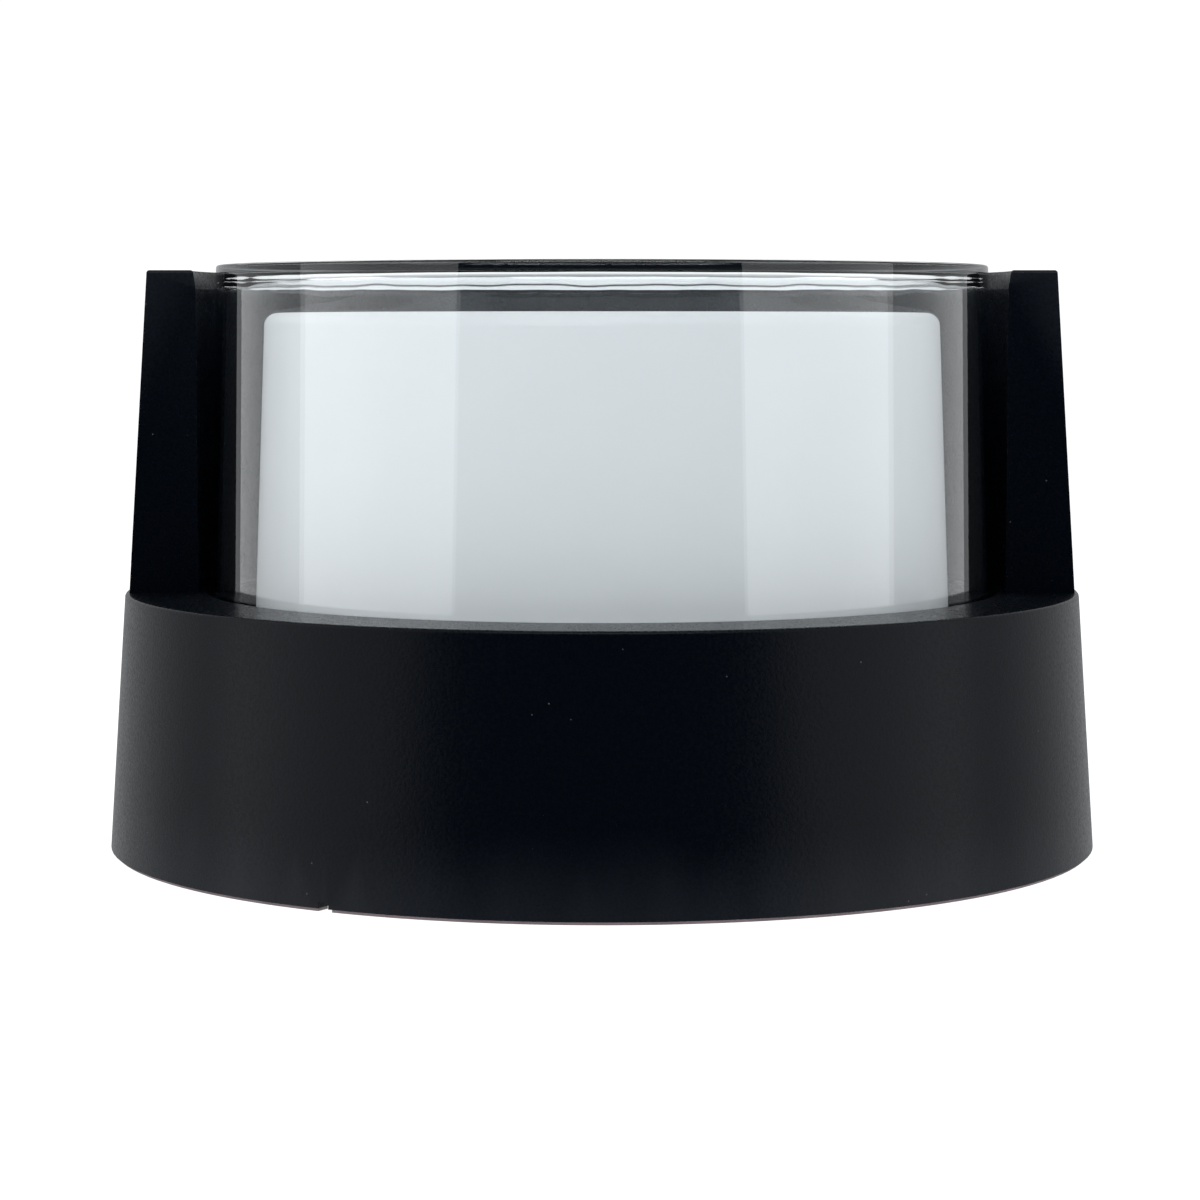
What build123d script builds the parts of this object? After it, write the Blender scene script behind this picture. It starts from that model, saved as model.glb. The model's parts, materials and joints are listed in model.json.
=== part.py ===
"""Round outdoor LED wall light: a tapered die-cast drum with a half-round shield, a clear cup, an opal
diffuser, an LED board, a driver, a lever terminal block and a steel wall bracket.

Millimetres. The wall is the plane z = 0 and +Z leads away from it. The origin is the centre of the wall
side. The shield stands on the +Y half and the light leaves on the -Y half.
"""

import os
from math import cos, radians, sin

from build123d import *

os.makedirs("parts", exist_ok=True)

# Drum and shield
drum_r = 80.0  # outer radius where the drum meets the wall
drum_top = 41.4
drum_top_r = 77.25
wall = 3.3
top_plate = 3.0
rim_z = 0.5  # the rim stands this far off the wall, on its gasket
edge_r = 0.55
taper = (drum_r - drum_top_r) / drum_top
shield_top = 93.0
shield_foot_r = 76.6
shield_top_r = 73.3
shield_bore_r = 65.6
bore_lead, bore_lead_h = 0.4, 2.9  # sloped inner edge at the top of the bore, where the cup goes in
shield_cut_y = -10.0
shield_edge_r = 0.5
notch_angle, notch_width, notch_height = 239.8, 1.8, 0.9
gasket_gap = 2.4  # the wall gasket stops on both sides of the notch, so that water runs out

# Clear cup
cup_top, cup_top_r = 93.8, 62.3
cup_foot_r = 63.6
cup_wall, cup_top_wall = 2.0, 1.7
cup_edge_r, cup_inner_r = 0.5, 2.3  # outer and inner corner of the closed top
flange_r, flange_t = 68.0, 2.0
seal_t = 1.0
opening_r = 64.3

# Diffuser
diffuser_top, diffuser_top_r = 86.3, 54.6
diffuser_foot_r = 56.5
diffuser_wall = 1.6

# Heat plate, and the heights of what is stacked on it
plate_t, plate_r = 2.0, 73.6
plate_top = drum_top - top_plate - seal_t - flange_t
plate_low = plate_top - plate_t
boss_pitch_r, boss_r = 71.3, 2.8
m3_r, m3_hole_r, m3_head_r, m3_head_t = 1.45, 1.5, 2.75, 1.8
pad_t = 0.3
board_t, board_r = 1.6, 48.0
board_low = plate_top + pad_t
board_top = board_low + board_t

# Driver, under the heat plate
driver_y, driver_length, driver_width, driver_height = 30.0, 62.0, 34.0, 20.0
driver_base_t, driver_wall = 2.0, 1.5
driver_base_low = plate_low - driver_base_t
lead_in_z = plate_low - 8.0
ear_length = 8.0

# Lever terminal block, under the heat plate
pole_pitch, poles = 6.2, 3
block_y, block_depth, block_height = -38.0, 18.0, 9.4
block_width = pole_pitch * poles + 0.8
block_low = plate_low - block_height
lever_width, lever_length, lever_t = 4.6, 13.0, 1.4
lever_pin_r, lever_hole_r = 0.9, 0.95
wire_r = 1.3
led_wire_r = 0.8
hole_play = 0.05

# Wall bracket and side screws
bracket_r, bracket_t = 66.0, 1.5
ear_face_x, ear_width, ear_top = 73.05, 14.0, 22.0
slot_pitch, slot_length, slot_width = 84.0, 16.0, 5.2
screw_z, screw_r, screw_proud = 13.7, 1.95, 0.4
screw_hole_r = 2.0
socket_across, socket_depth = 2.0, 2.2
tip_r, tip_hole_r, tip_length, tip_seat = 1.15, 1.2, 1.6, 1.2
cable_r = 4.2

poles_x = [(i - (poles - 1) / 2) * pole_pitch for i in range(poles)]


def finish(builder, name):
    """Label a finished piece and write its file."""
    builder.part.label = name
    export_step(builder.part, f"parts/{name}.step")


def drum_radius(z):
    """Outer radius of the drum at a height."""
    return drum_r - taper * z


# ---- Housing: drum, top plate, shield and screw bosses in one casting ----
with BuildPart() as housing:
    with BuildSketch(Plane.XZ):
        with BuildLine():
            Polyline(
                (opening_r, drum_top),
                (drum_top_r, drum_top),
                (drum_radius(rim_z), rim_z),
                (drum_radius(rim_z) - wall, rim_z),
                (drum_radius(drum_top - top_plate) - wall, drum_top - top_plate),
                (opening_r, drum_top - top_plate),
                close=True,
            )
        make_face()
    revolve(axis=Axis.Z)
    fillet(housing.edges().group_by(Axis.Z)[-1].sort_by(SortBy.RADIUS)[-1], edge_r)
    with BuildSketch(Plane.XY.offset(drum_top - top_plate)):
        with PolarLocations(boss_pitch_r, 4, start_angle=45):
            Circle(boss_r)
            Rectangle(3.7, 2 * boss_r, align=(Align.MIN, Align.CENTER))
    extrude(amount=-(drum_top - top_plate - plate_top))
    with BuildSketch(Plane.XY.offset(plate_top)):
        with PolarLocations(boss_pitch_r, 4, start_angle=45):
            Circle(m3_hole_r)
    extrude(amount=4.8, mode=Mode.SUBTRACT)
    # Threaded holes for the two side screws
    with BuildSketch(Plane.YZ.offset(-drum_r)):
        with Locations((0, screw_z)):
            Circle(screw_hole_r)
    extrude(amount=2 * drum_r, mode=Mode.SUBTRACT)
    # Drain notch through the rim
    with BuildSketch(Plane((0, 0, rim_z), x_dir=(cos(radians(notch_angle)), sin(radians(notch_angle)), 0))):
        with Locations((drum_r, 0)):
            Rectangle(3 * wall, notch_width)
    extrude(amount=notch_height, mode=Mode.SUBTRACT)

with BuildPart() as shield:
    with BuildSketch(Plane.XZ):
        with BuildLine():
            Polyline(
                (shield_bore_r, drum_top - 1),
                (shield_foot_r, drum_top - 1),
                (shield_foot_r, drum_top),
                (shield_top_r, shield_top),
                (shield_bore_r + bore_lead, shield_top),
                (shield_bore_r, shield_top - bore_lead_h),
                close=True,
            )
        make_face()
    revolve(axis=Axis.Z)
    split(bisect_by=Plane.XZ.offset(-shield_cut_y), keep=Keep.BOTTOM)
    fillet(shield.faces().sort_by(Axis.Z)[-1].edges(), shield_edge_r)

with BuildPart() as casting:
    add(housing.part)
    add(shield.part)
finish(casting, "housing")

# ---- Foam gasket between the rim and the wall ----
with BuildPart() as wall_gasket:
    with BuildSketch():
        Circle(drum_r - 0.6)
        Circle(drum_r - wall + 0.3, mode=Mode.SUBTRACT)
        with PolarLocations(drum_r - wall / 2, 1, start_angle=notch_angle):
            Rectangle(2 * wall, gasket_gap, mode=Mode.SUBTRACT)
    extrude(amount=rim_z)
finish(wall_gasket, "wall_gasket")

# ---- Clear cup with its clamping flange ----
with BuildPart() as clear_cover:
    flange_low = plate_top
    with BuildSketch(Plane.XZ):
        with BuildLine():
            Polyline(
                (0, cup_top),
                (cup_top_r, cup_top),
                (cup_foot_r, flange_low + flange_t),
                (flange_r, flange_low + flange_t),
                (flange_r, flange_low),
                (cup_foot_r - cup_wall, flange_low),
                (cup_top_r - cup_wall, cup_top - cup_top_wall),
                (0, cup_top - cup_top_wall),
                close=True,
            )
        make_face()
    revolve(axis=Axis.Z)
    rings = clear_cover.edges().filter_by(GeomType.CIRCLE).sort_by(Axis.Z)
    fillet(rings[-1], cup_edge_r)
    fillet(rings[-2], cup_inner_r)
finish(clear_cover, "clear_cover")

# ---- Silicone ring between the cup's flange and the housing ----
with BuildPart() as cover_gasket:
    with BuildSketch(Plane.XY.offset(plate_top + flange_t)):
        Circle(flange_r)
        Circle(opening_r + 0.3, mode=Mode.SUBTRACT)
    extrude(amount=seal_t)
finish(cover_gasket, "cover_gasket")

# ---- Opal diffuser with three snap hooks ----
hook_r, hook_width, hook_t, hook_drop, barb = 55.4, 9.0, 1.6, 3.4, 0.8

with BuildPart() as diffuser:
    with BuildSketch(Plane.XZ):
        with BuildLine():
            Polyline(
                (0, diffuser_top),
                (diffuser_top_r, diffuser_top),
                (diffuser_foot_r, plate_top),
                (diffuser_foot_r - diffuser_wall, plate_top),
                (diffuser_top_r - diffuser_wall, diffuser_top - diffuser_wall),
                (0, diffuser_top - diffuser_wall),
                close=True,
            )
        make_face()
    revolve(axis=Axis.Z)
    rings = diffuser.edges().filter_by(GeomType.CIRCLE).sort_by(Axis.Z)
    fillet(rings[-1], 2.2)
    fillet(rings[-2], 0.8)
    with BuildSketch(Plane.XY.offset(plate_top + 0.5)):
        with PolarLocations(hook_r, 3, start_angle=90):
            Rectangle(hook_t - 0.4, hook_width)
    extrude(amount=-(hook_drop + 0.5))
    with BuildSketch(Plane.XY.offset(plate_low - 0.1)):
        with PolarLocations(hook_r + hook_t / 2, 3, start_angle=90):
            Rectangle(2 * barb, hook_width)
    extrude(amount=-(hook_drop - plate_t - 0.1))
finish(diffuser, "diffuser")

# ---- Heat plate ----
grommet_y = 4.0
plate_hole_r = 5.0
led_screw_r = 41.0
driver_screw_x = (driver_length + ear_length) / 2
block_screw_x = block_width / 2 + 4.0
earth_x, earth_y = -34.0, -34.0

with BuildPart() as heat_plate:
    with BuildSketch(Plane.XY.offset(plate_low)):
        Circle(plate_r)
        with PolarLocations(boss_pitch_r, 4, start_angle=45):
            Circle(m3_hole_r + 0.15, mode=Mode.SUBTRACT)
        with PolarLocations(hook_r - 0.25, 3, start_angle=90):
            Rectangle(hook_t + 0.7, hook_width + 1, mode=Mode.SUBTRACT)
        with PolarLocations(led_screw_r, 4):
            Circle(m3_hole_r, mode=Mode.SUBTRACT)
        with Locations((-driver_screw_x, driver_y), (driver_screw_x, driver_y)):
            Circle(m3_hole_r, mode=Mode.SUBTRACT)
        with Locations((-block_screw_x, block_y), (block_screw_x, block_y), (earth_x, earth_y)):
            Circle(m3_hole_r, mode=Mode.SUBTRACT)
        with Locations((0, grommet_y)):
            Circle(plate_hole_r, mode=Mode.SUBTRACT)
    extrude(amount=plate_t)
finish(heat_plate, "heat_plate")


def m3_screws(name, points, seat_z, length, up):
    """Pan-head M3 screws at (x, y) points, with heads resting on seat_z and shanks that run up or down."""
    way = 1 if up else -1
    with BuildPart() as screws:
        with BuildSketch(Plane.XY.offset(seat_z)):
            with Locations(*points):
                Circle(m3_head_r)
        extrude(amount=-way * m3_head_t)
        rims = screws.edges().group_by(Axis.Z)[0 if up else -1]
        fillet(rims, 0.8)
        with BuildSketch(Plane.XY.offset(seat_z - way * m3_head_t)):
            with Locations(*points):
                Rectangle(2.6, 0.7)
                Rectangle(0.7, 2.6)
        extrude(amount=way * 1.0, mode=Mode.SUBTRACT)
        with BuildSketch(Plane.XY.offset(seat_z)):
            with Locations(*points):
                Circle(m3_r)
        extrude(amount=way * length)
    finish(screws, name)


def on_circle(radius, count, start):
    """Points evenly spaced round a circle."""
    angles = [radians(start + 360 / count * i) for i in range(count)]
    return [(radius * cos(a), radius * sin(a)) for a in angles]


m3_screws("plate_screws", on_circle(boss_pitch_r, 4, 45), plate_low, 6.2, up=True)

# ---- LED board on its thermal pad ----
with BuildPart() as thermal_pad:
    with BuildSketch(Plane.XY.offset(plate_top)):
        Circle(board_r - 2)
        with PolarLocations(led_screw_r, 4):
            Circle(m3_hole_r + 0.6, mode=Mode.SUBTRACT)
        with Locations((0, grommet_y)):
            Circle(plate_hole_r + 3, mode=Mode.SUBTRACT)
    extrude(amount=pad_t)
finish(thermal_pad, "thermal_pad")

with BuildPart() as led_board:
    with BuildSketch(Plane.XY.offset(board_low)):
        Circle(board_r)
        with PolarLocations(led_screw_r, 4):
            Circle(m3_hole_r + 0.2, mode=Mode.SUBTRACT)
        with Locations((0, grommet_y)):
            Circle(plate_hole_r + 2.6, mode=Mode.SUBTRACT)
    extrude(amount=board_t)
finish(led_board, "led_board")

with BuildPart() as led_chips:
    with BuildSketch(Plane.XY.offset(board_top)):
        with PolarLocations(35.0, 18, start_angle=10):
            Rectangle(2.8, 3.5)
        with PolarLocations(22.0, 10, start_angle=18):
            Rectangle(2.8, 3.5)
    extrude(amount=0.8)
finish(led_chips, "led_chips")

m3_screws("board_screws", on_circle(led_screw_r, 4, 0), board_top, board_t + pad_t + plate_t, up=False)

connector_y = -10.5
led_wire_x, led_wire_z = 1.2, board_top + 2.2
with BuildPart() as board_connector:
    with Locations((0, connector_y, board_top)):
        Box(8, 6.4, 4.2, align=(Align.CENTER, Align.CENTER, Align.MIN))
    fillet(board_connector.edges().filter_by(Axis.Z), 0.5)
    with BuildSketch(Plane.XZ.offset(-(connector_y + 3.2))):
        with Locations((-led_wire_x, led_wire_z), (led_wire_x, led_wire_z)):
            Circle(led_wire_r + hole_play)
    extrude(amount=2.5, mode=Mode.SUBTRACT)
finish(board_connector, "board_connector")

with BuildPart() as plate_grommet:
    with BuildSketch(Plane((0, grommet_y, 0), x_dir=(1, 0, 0), z_dir=(0, -1, 0))):
        with BuildLine():
            Polyline(
                (2.6, plate_low - 1.2),
                (plate_hole_r + 1.8, plate_low - 1.2),
                (plate_hole_r + 1.8, plate_low),
                (plate_hole_r, plate_low),
                (plate_hole_r, plate_top),
                (plate_hole_r + 1.8, plate_top),
                (plate_hole_r + 1.8, plate_top + 1.2),
                (2.6, plate_top + 1.2),
                close=True,
            )
        make_face()
    revolve(axis=Axis((0, grommet_y, 0), (0, 0, 1)))
finish(plate_grommet, "plate_grommet")

# ---- LED driver: base, case, board and its two large components ----
with BuildPart() as driver_base:
    with BuildSketch(Plane.XY.offset(driver_base_low)):
        with Locations((0, driver_y)):
            RectangleRounded(driver_length + 2 * ear_length, driver_width * 0.4, 2)
            RectangleRounded(driver_length, driver_width, 2)
        with Locations((-driver_screw_x, driver_y), (driver_screw_x, driver_y)):
            Circle(m3_hole_r + 0.1, mode=Mode.SUBTRACT)
    extrude(amount=driver_base_t)
finish(driver_base, "driver_base")

with BuildPart() as driver_case:
    with BuildSketch(Plane.XY.offset(driver_base_low)):
        with Locations((0, driver_y)):
            RectangleRounded(driver_length, driver_width, 2)
    extrude(amount=-(driver_height - driver_base_t))
    fillet(driver_case.faces().sort_by(Axis.Z)[0].edges(), 1.2)
    with BuildSketch(Plane.XY.offset(driver_base_low)):
        with Locations((0, driver_y)):
            RectangleRounded(driver_length - 2 * driver_wall, driver_width - 2 * driver_wall, 0.8)
    extrude(amount=-(driver_height - driver_base_t - driver_wall), mode=Mode.SUBTRACT)
    # Lead-ins: mains wires at the left end, LED wires at the right end
    with BuildSketch(Plane.YZ.offset(-driver_length / 2)):
        with Locations((driver_y - 4, lead_in_z), (driver_y + 4, lead_in_z)):
            Circle(wire_r + hole_play)
    extrude(amount=driver_wall, mode=Mode.SUBTRACT)
    with BuildSketch(Plane.YZ.offset(driver_length / 2)):
        with Locations((driver_y - 4, lead_in_z), (driver_y + 4, lead_in_z)):
            Circle(led_wire_r + hole_play)
    extrude(amount=-driver_wall, mode=Mode.SUBTRACT)
finish(driver_case, "driver_case")

with BuildPart() as driver_board:
    with BuildSketch(Plane.XY.offset(driver_base_low - 1.6 - 1.0)):
        with Locations((0, driver_y)):
            Rectangle(driver_length - 2 * driver_wall - 1, driver_width - 2 * driver_wall - 1)
    extrude(amount=1.6)
    with BuildSketch(Plane.XY.offset(driver_base_low - 1.0)):
        with Locations((0, driver_y)):
            with GridLocations(driver_length - 12, driver_width - 10, 2, 2):
                Circle(1.6)
    extrude(amount=1.0)
finish(driver_board, "driver_board")

with BuildPart() as driver_transformer:
    with Locations((4, driver_y, driver_base_low - 2.6)):
        Box(16, 17, 6, align=(Align.CENTER, Align.CENTER, Align.MAX))
        Box(12, 19, 11.5, align=(Align.CENTER, Align.CENTER, Align.MAX))
finish(driver_transformer, "driver_transformer")

with BuildPart() as driver_capacitors:
    with BuildSketch(Plane.XY.offset(driver_base_low - 2.6)):
        with Locations((-17, driver_y - 7), (-17, driver_y + 7), (20, driver_y + 7)):
            Circle(4.0)
    extrude(amount=-10.5)
    fillet(driver_capacitors.edges().group_by(Axis.Z)[0], 0.8)
finish(driver_capacitors, "driver_capacitors")

m3_screws(
    "driver_screws",
    [(-driver_screw_x, driver_y), (driver_screw_x, driver_y)],
    driver_base_low,
    driver_base_t + plate_t,
    up=True,
)

# ---- Terminal block: body, clamp springs and one lever for each pole ----
block_front = block_y - block_depth / 2
block_back = block_y + block_depth / 2
lever_pin_y, lever_pin_z = block_back - 4.0, block_low + 1.9
entry_z, entry_depth = plate_low - 3.4, 3.5

with BuildPart() as terminal_block:
    with Locations((0, block_y, plate_low)):
        Box(block_width, block_depth, block_height, align=(Align.CENTER, Align.CENTER, Align.MAX))
        Box(block_width + 14, 7, 2.4, align=(Align.CENTER, Align.CENTER, Align.MAX))
    # Wire entries at both ends of each pole: house wiring in front, the light's own wires behind
    with BuildSketch(Plane.XZ.offset(-block_front)):
        with Locations(*[(x, entry_z) for x in poles_x]):
            Circle(1.9)
    extrude(amount=-5.5, mode=Mode.SUBTRACT)
    with BuildSketch(Plane.XZ.offset(-block_back)):
        with Locations(*[(x, entry_z) for x in poles_x]):
            Circle(wire_r + hole_play)
    extrude(amount=entry_depth, mode=Mode.SUBTRACT)
    # A pocket under each pole for its lever
    with BuildSketch(Plane.XY.offset(block_low)):
        with Locations(*[(x, block_front + 8.5) for x in poles_x]):
            Rectangle(lever_width + 0.4, 17.0)
    extrude(amount=3.9, mode=Mode.SUBTRACT)
    # A slit in each pole for its clamp spring
    with BuildSketch(Plane.XY.offset(entry_z - 1.0)):
        with Locations(*[(x, block_y + 0.5) for x in poles_x]):
            Rectangle(3.0, 6.5)
    extrude(amount=2.0, mode=Mode.SUBTRACT)
    with BuildSketch(Plane.XY.offset(plate_low)):
        with Locations((-block_screw_x, block_y), (block_screw_x, block_y)):
            Circle(m3_hole_r + 0.1)
    extrude(amount=-2.4, mode=Mode.SUBTRACT)
    # The levers' axle runs across all three pockets
    with BuildSketch(Plane.YZ.offset(-block_width / 2 + 0.6)):
        with Locations((lever_pin_y, lever_pin_z)):
            Circle(lever_pin_r)
    extrude(amount=block_width - 1.2)
finish(terminal_block, "terminal_block")

with BuildPart() as terminal_clamps:
    with BuildSketch(Plane.XY.offset(entry_z - 0.8)):
        with Locations(*[(x, block_y + 0.5) for x in poles_x]):
            Rectangle(2.6, 6.0)
    extrude(amount=1.6)
finish(terminal_clamps, "terminal_clamps")

for name, x in zip(("lever_live", "lever_earth", "lever_neutral"), poles_x):
    with BuildPart() as lever:
        with BuildSketch(Plane.YZ.offset(x - lever_width / 2)):
            with Locations((lever_pin_y, lever_pin_z)):
                Circle(1.6)
            with BuildLine():
                Polyline(
                    (lever_pin_y, lever_pin_z + 1.0),
                    (lever_pin_y - lever_length, block_low + lever_t + 0.3),
                    (lever_pin_y - lever_length - 0.6, block_low + 0.1),
                    (lever_pin_y, block_low + 0.3),
                    close=True,
                )
            make_face()
            with Locations((lever_pin_y, lever_pin_z)):
                Circle(lever_hole_r, mode=Mode.SUBTRACT)
        extrude(amount=lever_width)
    finish(lever, name)

m3_screws(
    "terminal_screws",
    [(-block_screw_x, block_y), (block_screw_x, block_y)],
    plate_low - 2.4,
    2.4 + plate_t,
    up=True,
)

# ---- Earth screw, ring terminal and crimp barrel ----
ring_t = 0.8
barrel_z = plate_low - 2.0
with BuildPart() as earth_ring:
    with BuildSketch(Plane.XY.offset(plate_low - ring_t)):
        with Locations((earth_x, earth_y)):
            Circle(3.6)
        with Locations((earth_x, earth_y + 5)):
            Rectangle(3.2, 6)
        with Locations((earth_x, earth_y)):
            Circle(m3_hole_r + 0.1, mode=Mode.SUBTRACT)
    extrude(amount=ring_t)
    with BuildSketch(Plane.XZ.offset(-(earth_y + 6))):
        with Locations((earth_x, barrel_z)):
            Circle(2.0)
    extrude(amount=-6)
    with BuildSketch(Plane.XZ.offset(-(earth_y + 12))):
        with Locations((earth_x, barrel_z)):
            Circle(wire_r + hole_play)
    extrude(amount=4, mode=Mode.SUBTRACT)
finish(earth_ring, "earth_ring")

m3_screws("earth_screw", [(earth_x, earth_y)], plate_low - ring_t, ring_t + plate_t, up=True)


# ---- Wires inside the drum ----
def wire(name, points, radii, radius):
    """An insulated wire: a round tube along straight runs joined by tangent arcs."""
    with BuildPart() as lead:
        with BuildLine() as route:
            FilletPolyline(*points, radius=radii)
        with BuildSketch(Plane(points[0], z_dir=Vector(*points[1]) - Vector(*points[0]))):
            Circle(radius)
        sweep(path=route.wires()[0])
    length = route.wires()[0].length
    print(name, "length", round(length, 1), "volume over section x length",
          round(lead.part.volume / (3.14159265 * radius**2 * length), 4))
    finish(lead, name)


lead_in_x = driver_length / 2 - driver_wall
entry_y = block_back - entry_depth + 0.1
near_y, far_y = driver_y - 4, driver_y + 4

wire(
    "live_wire",
    [
        (-lead_in_x, near_y, lead_in_z),
        (-43, near_y, lead_in_z),
        (-48, 8, lead_in_z),
        (-30, -9, lead_in_z + 0.5),
        (poles_x[0] - 2, -11, lead_in_z + 3),
        (poles_x[0], -20, entry_z),
        (poles_x[0], entry_y, entry_z),
    ],
    [6, 12, 14, 7, 9],
    wire_r,
)
wire(
    "neutral_wire",
    [
        (-lead_in_x, far_y, lead_in_z),
        (-47, far_y, lead_in_z),
        (-55, 12, lead_in_z - 4),
        (-44, -12, lead_in_z - 5),
        (-18, -12, lead_in_z - 5),
        (4, -5, lead_in_z - 1),
        (poles_x[2], -17, entry_z),
        (poles_x[2], entry_y, entry_z),
    ],
    [8, 16, 12, 16, 8, 9],
    wire_r,
)
wire(
    "earth_wire",
    [
        (earth_x, earth_y + 8.2, barrel_z),
        (earth_x, earth_y + 18, barrel_z),
        (-22, -5, barrel_z),
        (-3, -7, barrel_z - 0.3),
        (poles_x[1], -18, entry_z),
        (poles_x[1], entry_y, entry_z),
    ],
    [8, 10, 8, 10],
    wire_r,
)
wire(
    "led_wire_positive",
    [
        (lead_in_x, near_y, lead_in_z),
        (42, near_y, lead_in_z),
        (45, 9, lead_in_z - 2),
        (24, 0, lead_in_z - 3),
        (led_wire_x, grommet_y, lead_in_z - 4),
        (led_wire_x, grommet_y, led_wire_z),
        (led_wire_x, connector_y + 1, led_wire_z),
    ],
    [6, 8, 16, 6, 4],
    led_wire_r,
)
wire(
    "led_wire_negative",
    [
        (lead_in_x, far_y, lead_in_z),
        (46, far_y, lead_in_z),
        (50, 12, lead_in_z - 4),
        (26, -7, lead_in_z - 7),
        (-led_wire_x, grommet_y, lead_in_z - 9),
        (-led_wire_x, grommet_y, led_wire_z),
        (-led_wire_x, connector_y + 1, led_wire_z),
    ],
    [7, 10, 18, 7, 4],
    led_wire_r,
)

# ---- Wall bracket, cable grommet, side screws and their tips ----
cable_hole_r = 7.0
with BuildPart() as wall_bracket:
    with BuildSketch():
        Circle(bracket_r)
        Rectangle(2 * ear_face_x, ear_width)
        with Locations((0, -slot_pitch / 2), (0, slot_pitch / 2)):
            SlotOverall(slot_length, slot_width, rotation=90, mode=Mode.SUBTRACT)
        Circle(cable_hole_r, mode=Mode.SUBTRACT)
    extrude(amount=bracket_t)
    with BuildSketch():
        with Locations((ear_face_x, 0)):
            Rectangle(bracket_t, ear_width, align=(Align.MAX, Align.CENTER))
        with Locations((-ear_face_x, 0)):
            Rectangle(bracket_t, ear_width, align=(Align.MIN, Align.CENTER))
    extrude(amount=ear_top)
    corners = wall_bracket.edges().filter_by(Axis.Y)
    fillet(corners.group_by(Axis.Z)[0].sort_by(Axis.X)[0::len(corners.group_by(Axis.Z)[0]) - 1], 1.2)
    fillet(wall_bracket.edges().filter_by(Axis.X).group_by(Axis.Z)[-1], 3.0)
finish(wall_bracket, "wall_bracket")

with BuildPart() as cable_grommet:
    with BuildSketch(Plane.XZ):
        with BuildLine():
            Polyline(
                (cable_r, 0),
                (cable_hole_r, 0),
                (cable_hole_r, bracket_t),
                (cable_hole_r + 2.5, bracket_t),
                (cable_hole_r + 2.5, bracket_t + 1.2),
                (cable_r + 1.4, bracket_t + 3.6),
                (cable_r, bracket_t + 3.6),
                close=True,
            )
        make_face()
    revolve(axis=Axis.Z)
finish(cable_grommet, "cable_grommet")

screw_out = drum_radius(screw_z) + screw_proud
tip_in = ear_face_x + 0.05
screw_in = tip_in + tip_length - tip_seat

for side, way in (("left", -1), ("right", 1)):
    with BuildPart() as side_screw:
        with BuildSketch(Plane.YZ.offset(way * screw_in)):
            with Locations((0, screw_z)):
                Circle(screw_r)
        extrude(amount=way * (screw_out - screw_in))
        chamfer(side_screw.faces().sort_by(Axis.X)[0 if way < 0 else -1].edges(), 0.25)
        with BuildSketch(Plane.YZ.offset(way * screw_out)):
            with Locations((0, screw_z)):
                RegularPolygon(socket_across / 2, 6, major_radius=False)
        extrude(amount=-way * socket_depth, mode=Mode.SUBTRACT)
        with BuildSketch(Plane.YZ.offset(way * screw_in)):
            with Locations((0, screw_z)):
                Circle(tip_hole_r)
        extrude(amount=way * tip_seat, mode=Mode.SUBTRACT)
    finish(side_screw, f"side_screw_{side}")

    with BuildPart() as screw_tip:
        with BuildSketch(Plane.YZ.offset(way * tip_in)):
            with Locations((0, screw_z)):
                Circle(tip_r)
        extrude(amount=way * (tip_length - 0.05))
    finish(screw_tip, f"screw_tip_{side}")
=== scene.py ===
"""The looks of the outdoor wall light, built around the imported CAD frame, in metres."""

import json
import math

import bpy
from mathutils import Matrix, Vector


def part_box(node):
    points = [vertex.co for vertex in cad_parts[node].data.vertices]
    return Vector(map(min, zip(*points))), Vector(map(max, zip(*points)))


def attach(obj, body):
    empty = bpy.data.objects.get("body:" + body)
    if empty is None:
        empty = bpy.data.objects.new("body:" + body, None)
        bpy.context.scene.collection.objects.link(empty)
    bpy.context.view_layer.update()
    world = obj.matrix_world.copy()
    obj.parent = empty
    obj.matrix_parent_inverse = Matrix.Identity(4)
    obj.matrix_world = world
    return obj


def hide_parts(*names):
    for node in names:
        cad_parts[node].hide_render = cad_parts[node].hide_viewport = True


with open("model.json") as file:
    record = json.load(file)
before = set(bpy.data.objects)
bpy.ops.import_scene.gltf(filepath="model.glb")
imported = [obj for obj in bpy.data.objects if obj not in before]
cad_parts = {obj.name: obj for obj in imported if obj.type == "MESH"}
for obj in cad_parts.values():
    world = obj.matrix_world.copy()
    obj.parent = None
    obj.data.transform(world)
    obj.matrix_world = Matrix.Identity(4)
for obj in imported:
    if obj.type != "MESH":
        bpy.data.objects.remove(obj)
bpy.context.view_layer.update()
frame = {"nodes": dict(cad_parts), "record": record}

MM = 0.001

# ---- Camera: a short telephoto, a little above the drum and tipped down ----
camera_distance = 541.7 * MM
camera_height = 84.5 * MM
camera_side = -0.33 * MM
camera_pitch = math.radians(4.76)
camera_lens, camera_sensor = 99.6, 36  # millimetres

# ---- Studio ----
table_radius = 650 * MM
aim_height = 60 * MM  # the point that every softbox faces
room_dark, room_bright = (0.014, 0.03, 0.042), (0.54, 0.555, 0.565)
backdrop_white = (1.08, 1.08, 1.08)
table_white, table_grey = (0.33, 0.33, 0.33), (0.3, 0.3, 0.3)
softboxes = (  # name, bearing in degrees, height, distance and size in metres, radiance
    ("left_softbox", -68, 0.3, 0.9, (0.97, 1.2), 0.92),
    ("right_softbox", 65, 0.3, 0.9, (0.9, 1.2), 0.99),
    ("front_softbox", 0, 0.75, 0.7, (0.9, 0.5), 2.35),
)

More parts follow.
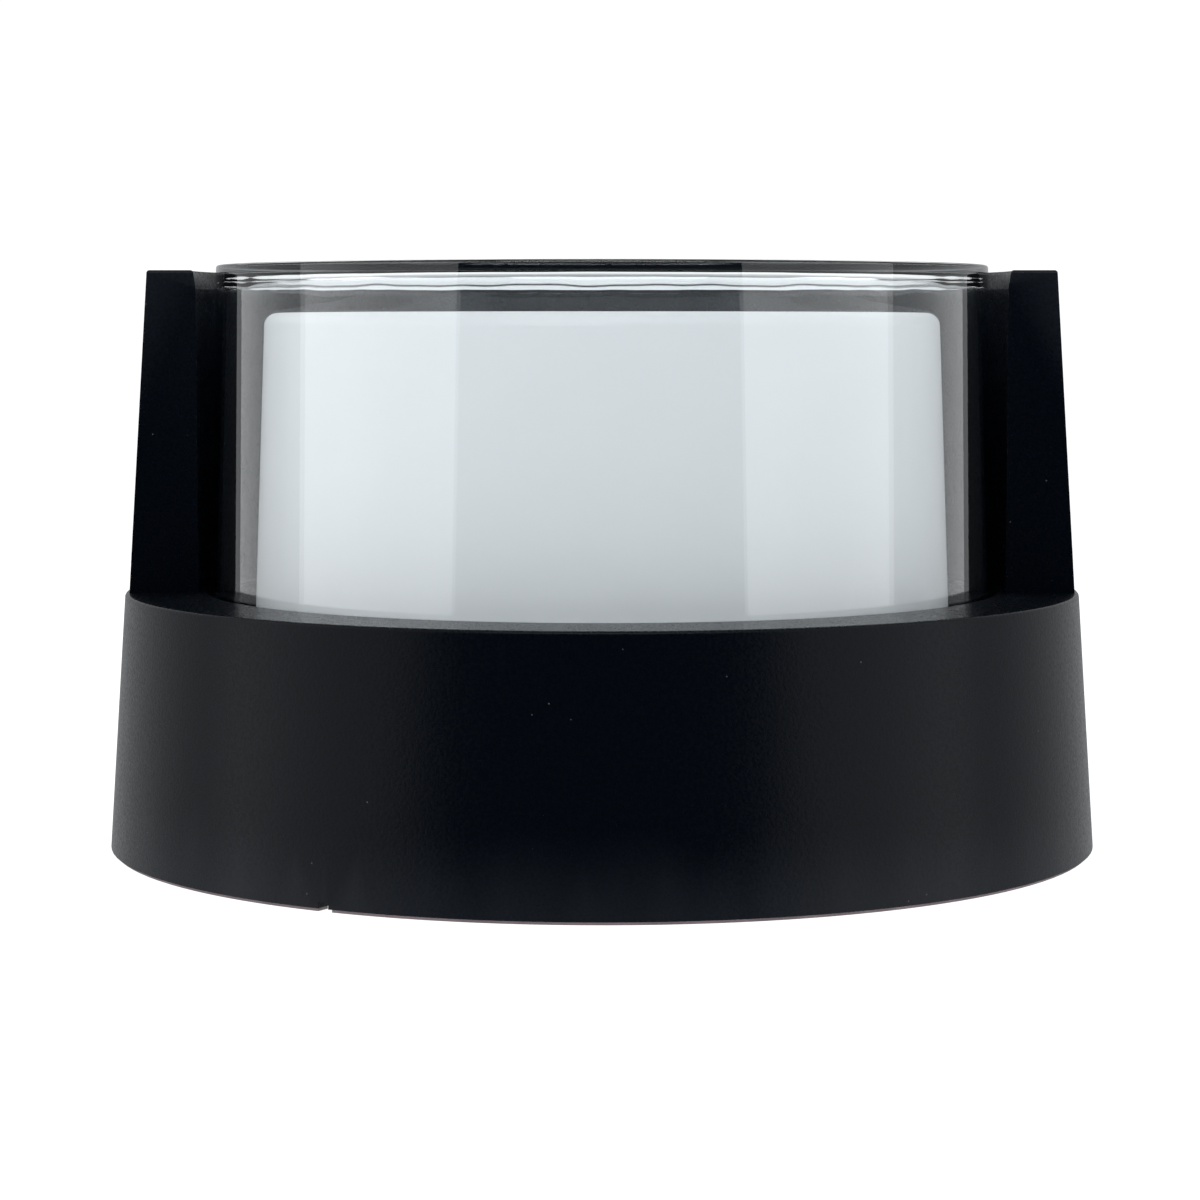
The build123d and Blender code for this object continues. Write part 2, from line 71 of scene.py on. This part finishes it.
# ---- Sizes of the rebuilt cup that the frame's box doesn't give ----
segments = 360
longest_run = 6 * MM
sharp_angle = math.radians(35)  # an edge between faces that turn more than this stays sharp
cup_top_r, cup_foot_r, cup_wall, flange_t = 62.3 * MM, 63.6 * MM, 2.0 * MM, 2.0 * MM
cup_top_wall = 1.7 * MM
cup_edge_r, cup_inner_r = 0.5 * MM, 2.3 * MM
cup_ripple = 0.2 * MM  # how unevenly the inner corner of the moulded cup runs
cup_waves = ((1, 17, 0), (0.7, 29, 1), (0.5, 53, 2))  # share, waves around the cup, shift


# ---------------------------------------------------------------- materials
def principled(name, color, roughness, metallic=0.0, **sockets):
    """A material with one Principled shader. Further sockets are named with _ for a space."""
    made = bpy.data.materials.new(name)
    made.use_nodes = True
    shader = made.node_tree.nodes["Principled BSDF"]
    shader.inputs["Base Color"].default_value = (*color, 1)
    shader.inputs["Roughness"].default_value = roughness
    shader.inputs["Metallic"].default_value = metallic
    for socket, value in sockets.items():
        shader.inputs[socket.replace("_", " ")].default_value = value
    return made


def node(made, kind, inputs=None, **settings):
    """A new node, with its settings and the values or links of its inputs."""
    new = made.node_tree.nodes.new(kind)
    for name, value in settings.items():
        setattr(new, name, value)
    for name, value in (inputs or {}).items():
        if isinstance(value, bpy.types.NodeSocket):
            made.node_tree.links.new(value, new.inputs[name])
        else:
            new.inputs[name].default_value = value
    return new


def feed(made, socket, source):
    """Link a node's output to one of the shader's sockets."""
    made.node_tree.links.new(source, made.node_tree.nodes["Principled BSDF"].inputs[socket])


def place(made, stretch=(1, 1, 1)):
    """Object coordinates in metres, stretched along the axes."""
    coordinates = node(made, "ShaderNodeTexCoord").outputs["Object"]
    inputs = {"Vector": coordinates, "Scale": stretch}
    return node(made, "ShaderNodeMapping", inputs).outputs["Vector"]


def noise(made, size, detail=2.0, roughness=0.5, stretch=(1, 1, 1)):
    """Noise whose blotches are about size metres across."""
    inputs = {"Vector": place(made, stretch), "Scale": 1 / size}
    inputs.update({"Detail": detail, "Roughness": roughness})
    return node(made, "ShaderNodeTexNoise", inputs).outputs["Fac"]


def ramp(made, source, low, high, low_value, high_value):
    """Map source from low..high to low_value..high_value, smoothly and without overshoot."""
    inputs = {"Value": source, "From Min": low, "From Max": high}
    inputs.update({"To Min": low_value, "To Max": high_value})
    new = node(made, "ShaderNodeMapRange", inputs, interpolation_type="SMOOTHSTEP")
    return new.outputs["Result"]


def cells(made, size, output):
    """One output of cells that are about size metres apart."""
    inputs = {"Vector": place(made), "Scale": 1 / size}
    return node(made, "ShaderNodeTexVoronoi", inputs).outputs[output]


def blend_colors(made, factor, first, second):
    """Two colours, each given as numbers or as a node's output, mixed by a factor."""
    new = node(made, "ShaderNodeMix", data_type="RGBA")
    for socket, value in ((new.inputs[6], first), (new.inputs[7], second)):
        if isinstance(value, bpy.types.NodeSocket):
            made.node_tree.links.new(value, socket)
        else:
            socket.default_value = (*value, 1)
    made.node_tree.links.new(factor, new.inputs[0])
    return new.outputs[2]


def mottle(made, size, first, second):
    """Base colour that drifts between two colours in blotches of one size."""
    drift = ramp(made, noise(made, size), 0.35, 0.65, 0, 1)
    feed(made, "Base Color", blend_colors(made, drift, first, second))


def vary_roughness(made, size, low, high, stretch=(1, 1, 1)):
    """Roughness that drifts between two values."""
    feed(made, "Roughness", ramp(made, noise(made, size, stretch=stretch), 0.3, 0.7, low, high))


def bump(made, height, strength, depth, below=None):
    """Relief of a real depth in metres, on top of the relief below it if there is one."""
    inputs = {"Height": height, "Strength": strength, "Distance": depth}
    if below:
        inputs["Normal"] = below
    relief = node(made, "ShaderNodeBump", inputs).outputs["Normal"]
    feed(made, "Normal", relief)
    return relief


def edge_factor(made, low, high):
    """0 on flat ground and 1 on sharp outer edges."""
    return ramp(made, node(made, "ShaderNodeNewGeometry").outputs["Pointiness"], low, high, 0, 1)


def powder_coat():
    """Black polyester powder: a pebbled skin, a few pale dust specks, and sharp edges painted
    lighter, partly as rubbed wear and partly as a painted edge highlight.
    """
    black, rubbed_and_highlit, pale = (0.0006, 0.0018, 0.0042), (0.008, 0.01, 0.014), (0.07, 0.07, 0.075)
    made = principled("powder_coat", black, 0.3, IOR=1.5, Specular_IOR_Level=0.14)
    pebbles = noise(made, 0.55 * MM, detail=2.5, roughness=0.6)
    waves = noise(made, 2.2 * MM, detail=1.5, stretch=(1, 1, 2.6))
    under = bump(made, waves, 0.35, 0.05 * MM)
    bump(made, pebbles, 0.55, 0.06 * MM, below=under)
    feed(made, "Roughness", ramp(made, pebbles, 0.35, 0.7, 0.25, 0.35))
    dust = ramp(made, cells(made, 5 * MM, "Distance"), 0.018, 0.03, 1, 0)
    # sharp edges painted lighter: partly rubbed wear, partly a painted edge highlight
    coat = blend_colors(made, edge_factor(made, 0.53, 0.6), black, rubbed_and_highlit)
    feed(made, "Base Color", blend_colors(made, dust, coat, pale))
    return made


def clear_plastic():
    """Clear polycarbonate: optical, with the cool tint of the thick edge."""
    tint = (0.93, 0.965, 0.985)
    return principled("clear_plastic", tint, 0.0, IOR=1.585, Transmission_Weight=1.0)


def opal():
    """Opal white polycarbonate with a satin skin."""
    made = principled("opal", (0.885, 0.895, 0.9), 0.34, IOR=1.5)
    mottle(made, 20 * MM, (0.883, 0.893, 0.898), (0.888, 0.898, 0.902))
    vary_roughness(made, 6 * MM, 0.33, 0.36)
    bump(made, noise(made, 0.6 * MM, detail=1.0), 0.03, 0.01 * MM)
    return made


def metal(name, first, second, roughness, size, stretch=(1, 1, 1), relief=0.15):
    """Bare metal with drifting tone and fine marks."""
    made = principled(name, first, sum(roughness) / 2, metallic=1.0)
    mottle(made, size, first, second)
    vary_roughness(made, size * 0.7, *roughness, stretch=stretch)
    bump(made, noise(made, 0.35 * MM, detail=2, stretch=stretch), relief, 0.02 * MM)
    return made


def plastic(name, first, second, roughness, relief=0.12, grain=0.4 * MM):
    """Moulded plastic or rubber with a fine grained skin."""
    made = principled(name, first, sum(roughness) / 2)
    mottle(made, 6 * MM, first, second)
    vary_roughness(made, 2.5 * MM, *roughness)
    bump(made, noise(made, grain, detail=2), relief, 0.03 * MM)
    return made


def galvanised():
    """Zinc-coated sheet with its crystal spangle."""
    made = principled("galvanised", (0.62, 0.63, 0.64), 0.4, metallic=1.0)
    crystals = cells(made, 7 * MM, "Color")
    shade = node(made, "ShaderNodeSeparateColor", {"Color": crystals}).outputs["Red"]
    feed(made, "Base Color", blend_colors(made, shade, (0.5, 0.52, 0.54), (0.74, 0.75, 0.76)))
    feed(made, "Roughness", ramp(made, shade, 0, 1, 0.3, 0.5))
    bump(made, noise(made, 0.5 * MM, detail=2), 0.12, 0.02 * MM)
    return made


def by_normal(name, upper, lower, level, roughness):
    """One colour on faces that look up more than level, and another on the rest."""
    made = principled(name, upper, roughness)
    normal = node(made, "ShaderNodeNewGeometry").outputs["Normal"]
    height = node(made, "ShaderNodeSeparateXYZ", {"Vector": normal}).outputs["Z"]
    factor = ramp(made, height, level - 0.05, level + 0.05, 0, 1)
    feed(made, "Base Color", blend_colors(made, factor, lower, upper))
    bump(made, noise(made, 0.5 * MM, detail=1), 0.1, 0.02 * MM)
    return made


def all_materials():
    """Every material slot of the record, by name."""
    # first colour, second colour, range of roughness, then relief and size of the grain
    plastics = {
        "foam": ((0.22, 0.175, 0.19), (0.28, 0.225, 0.24), (0.8, 0.95), 0.5, 0.5 * MM),
        "silicone": ((0.1, 0.1, 0.11), (0.13, 0.13, 0.14), (0.35, 0.5)),
        "thermal_pad": ((0.5, 0.52, 0.56), (0.56, 0.58, 0.62), (0.7, 0.85)),
        "white_board": ((0.84, 0.84, 0.82), (0.88, 0.88, 0.86), (0.25, 0.35), 0.05),
        "white_nylon": ((0.82, 0.82, 0.78), (0.87, 0.87, 0.84), (0.4, 0.55)),
        "black_rubber": ((0.018, 0.018, 0.019), (0.03, 0.03, 0.03), (0.6, 0.8), 0.3),
        "driver_white": ((0.78, 0.79, 0.79), (0.83, 0.84, 0.84), (0.35, 0.5), 0.25),
        "circuit_board": ((0.02, 0.16, 0.06), (0.03, 0.22, 0.09), (0.25, 0.4), 0.1),
        "transformer": ((0.7, 0.52, 0.07), (0.62, 0.45, 0.06), (0.3, 0.45), 0.1),
        "capacitor": ((0.03, 0.04, 0.07), (0.04, 0.05, 0.08), (0.2, 0.3), 0.05),
        "terminal_grey": ((0.5, 0.52, 0.53), (0.56, 0.58, 0.59), (0.25, 0.4), 0.1),
        "lever_orange": ((0.82, 0.2, 0.02), (0.88, 0.25, 0.03), (0.25, 0.4), 0.08),
        "wire_brown": ((0.12, 0.045, 0.02), (0.16, 0.06, 0.03), (0.35, 0.5), 0.08),
        "wire_blue": ((0.015, 0.09, 0.4), (0.02, 0.12, 0.46), (0.35, 0.5), 0.08),
        "wire_red": ((0.45, 0.012, 0.012), (0.52, 0.02, 0.02), (0.35, 0.5), 0.08),
        "wire_black": ((0.012, 0.012, 0.013), (0.02, 0.02, 0.02), (0.35, 0.5), 0.08),
    }
    # first colour, second colour, range of roughness, size of the blotches, then stretch and relief
    brushed, even = (12, 1, 1), (1, 1, 1)
    metals = {
        "bare_aluminium": ((0.76, 0.77, 0.78), (0.83, 0.84, 0.85), (0.25, 0.42), 5 * MM, brushed),
        "zinc_screw": ((0.6, 0.62, 0.66), (0.72, 0.73, 0.74), (0.25, 0.4), 1.5 * MM),
        "copper_alloy": ((0.72, 0.5, 0.27), (0.8, 0.6, 0.36), (0.22, 0.38), 2 * MM),
        "black_screw": (
            (0.03, 0.03, 0.033), (0.06, 0.06, 0.065), (0.35, 0.5), 0.8 * MM, even, 0.25
        ),
    }
    # colour above, colour elsewhere, the upward lean where they meet, roughness
    two_tones = {
        "led_phosphor": ((0.9, 0.68, 0.12), (0.88, 0.88, 0.86), 0.9, 0.4),
        "wire_green_yellow": ((0.05, 0.3, 0.05), (0.8, 0.65, 0.03), -0.4, 0.42),
    }
    finishes = {
        "powder_coat": powder_coat(),
        "clear_plastic": clear_plastic(),
        "opal": opal(),
        "galvanised": galvanised(),
    }
    for build, looks in ((plastic, plastics), (metal, metals), (by_normal, two_tones)):
        finishes.update({name: build(name, *values) for name, values in looks.items()})
    return finishes


# ---------------------------------------------------------------- pieces
def arc(centre, radius, start, end, steps):
    """Points of an arc in the (r, z) plane, from one angle in degrees to another, ends included."""
    angles = [math.radians(start + (end - start) * i / steps) for i in range(steps + 1)]
    return [(centre[0] + radius * math.cos(a), centre[1] + radius * math.sin(a)) for a in angles]


def runs(points):
    """The same outline with its long straight runs divided, so that no step is too long."""
    divided = []
    for (r1, z1), (r2, z2) in zip(points, points[1:]):
        count = max(1, math.ceil(math.hypot(r2 - r1, z2 - z1) / longest_run))
        divided += [(r1 + (r2 - r1) * i / count, z1 + (z2 - z1) * i / count) for i in range(count)]
    return divided + [points[-1]]


def revolved(name, outline, move):
    """A smooth mesh turned about the Z axis from (r, z) points; points on the axis become poles.

    move takes a point as (angle, r, z) and returns its new (r, z).
    """
    vertices, rows = [], []
    for r, z in outline:
        if r < 1e-9:
            rows.append([len(vertices)] * segments)
            vertices.append((0, 0, z))
            continue
        rows.append(range(len(vertices), len(vertices) + segments))
        for i in range(segments):
            angle = 2 * math.pi * i / segments
            radius, height = move(angle, r, z)
            vertices.append((radius * math.cos(angle), radius * math.sin(angle), height))
    faces = []
    for low, high in zip(rows, rows[1:]):
        for i in range(segments):
            j = (i + 1) % segments
            corner = [low[i], low[j], high[j], high[i]]
            faces.append([v for k, v in enumerate(corner) if v not in corner[:k]])
    mesh = bpy.data.meshes.new(name)
    mesh.from_pydata(vertices, [], faces)
    mesh.validate()
    mesh.shade_smooth()
    mesh.set_sharp_from_angle(angle=sharp_angle)
    piece = bpy.data.objects.new(name, mesh)
    bpy.context.scene.collection.objects.link(piece)
    return piece


def clear_cup():
    """The clear cup with its flange; the inner corner under the top runs a little unevenly."""
    low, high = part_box("clear_cover")
    foot, top, flange_r = low.z, high.z, high.x
    inner_top_r = cup_top_r - cup_wall
    under = top - cup_top_wall
    inner_centre = (inner_top_r - cup_inner_r, under - cup_inner_r)
    outer_centre = (cup_top_r - cup_edge_r, top - cup_edge_r)
    inner = arc(inner_centre, cup_inner_r, 90, 0, steps=14)
    outer = arc(outer_centre, cup_edge_r, 0, 90, steps=10)
    outline = [(0, under), *inner, (cup_foot_r - cup_wall, foot), (flange_r, foot)]
    outline += [(flange_r, foot + flange_t), (cup_foot_r, foot + flange_t), *outer, (0, top)]

    def uneven(angle, r, z):
        drop = (under - z) / cup_inner_r  # 0 on the flat underside, 1 at the corner's foot
        outside = r > inner_top_r + cup_wall / 2
        if outside or not 0 < drop < 2:
            return r, z
        wave = sum(part * math.sin(turns * angle + shift) for part, turns, shift in cup_waves)
        return r, z + cup_ripple * drop * (2 - drop) * wave / 2

    piece = revolved("clear_cup", runs(outline), uneven)
    piece.visible_shadow = False  # light passes the clear cup to the diffuser
    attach(piece, "luminaire")
    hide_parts("clear_cover")
    return piece


# ---------------------------------------------------------------- studio
def softbox(name, direction, height, distance, size, radiance):
    """A rectangular light at a bearing in degrees from -Y (towards +X), facing the object."""
    bearing = math.radians(direction)
    light = bpy.data.lights.new(name, "AREA")
    light.shape = "RECTANGLE"
    light.size, light.size_y = size
    light.energy = radiance * size[0] * size[1] * math.pi  # watts over its whole face
    lamp = bpy.data.objects.new(name, light)
    spot = Vector((distance * math.sin(bearing), -distance * math.cos(bearing), height))
    away = spot - Vector((0, 0, aim_height))
    facing = away.to_track_quat("Z", "Y").to_matrix().to_4x4()
    lamp.matrix_world = Matrix.Translation(spot) @ facing
    bpy.context.scene.collection.objects.link(lamp)


def studio():
    """White table and backdrop, a dark room in front, where the camera stands, and three softboxes.

    The backdrop is as white through the clear plastic as beside it. Reflections see the dimmer
    room.
    """
    world = bpy.data.worlds.new("studio")
    bpy.context.scene.world = world
    world.use_nodes = True
    direction = node(world, "ShaderNodeTexCoord").outputs["Generated"]
    backward = node(world, "ShaderNodeSeparateXYZ", {"Vector": direction}).outputs["Y"]
    behind = ramp(world, backward, -0.55, 0.1, 0, 1)
    room = blend_colors(world, behind, room_dark, room_bright)
    rays = node(world, "ShaderNodeLightPath").outputs
    through = ramp(world, backward, 0.2, 0.6, 0, rays["Is Transmission Ray"])
    seen = {0: rays["Is Camera Ray"], 1: through}
    direct = node(world, "ShaderNodeMath", seen, operation="MAXIMUM").outputs["Value"]
    backdrop = blend_colors(world, direct, room, backdrop_white)
    world.node_tree.links.new(backdrop, world.node_tree.nodes["Background"].inputs["Color"])

    table = principled(
        "white_table", table_grey, 0.6, Emission_Color=(1, 1, 1, 1), Emission_Strength=1.0
    )
    mottle(table, 400 * MM, table_grey, table_white)
    bpy.ops.mesh.primitive_circle_add(
        vertices=96, radius=table_radius, fill_type="NGON", location=(0, 0, 0)
    )
    floor = bpy.context.object
    floor.name = "floor"
    floor.data.materials.append(table)
    floor.visible_glossy = False

    for values in softboxes:
        softbox(*values)


def camera():
    """The camera, at the bearing and height of the product shot."""
    data = bpy.data.cameras.new("camera")
    data.lens, data.sensor_width = camera_lens, camera_sensor
    seat = bpy.data.objects.new("camera", data)
    seat.location = (camera_side, -camera_distance, camera_height)
    seat.rotation_euler = (math.pi / 2 - camera_pitch, 0, 0)
    bpy.context.scene.collection.objects.link(seat)
    bpy.context.scene.camera = seat
    bpy.context.scene.view_settings.view_transform = "Standard"


camera()
studio()
finishes = all_materials()
for part in frame["record"]["subparts"]:
    frame["nodes"][part["node"]].material_slots[0].material = finishes[part["material_slot"]]
clear_cup().data.materials.append(finishes["clear_plastic"])
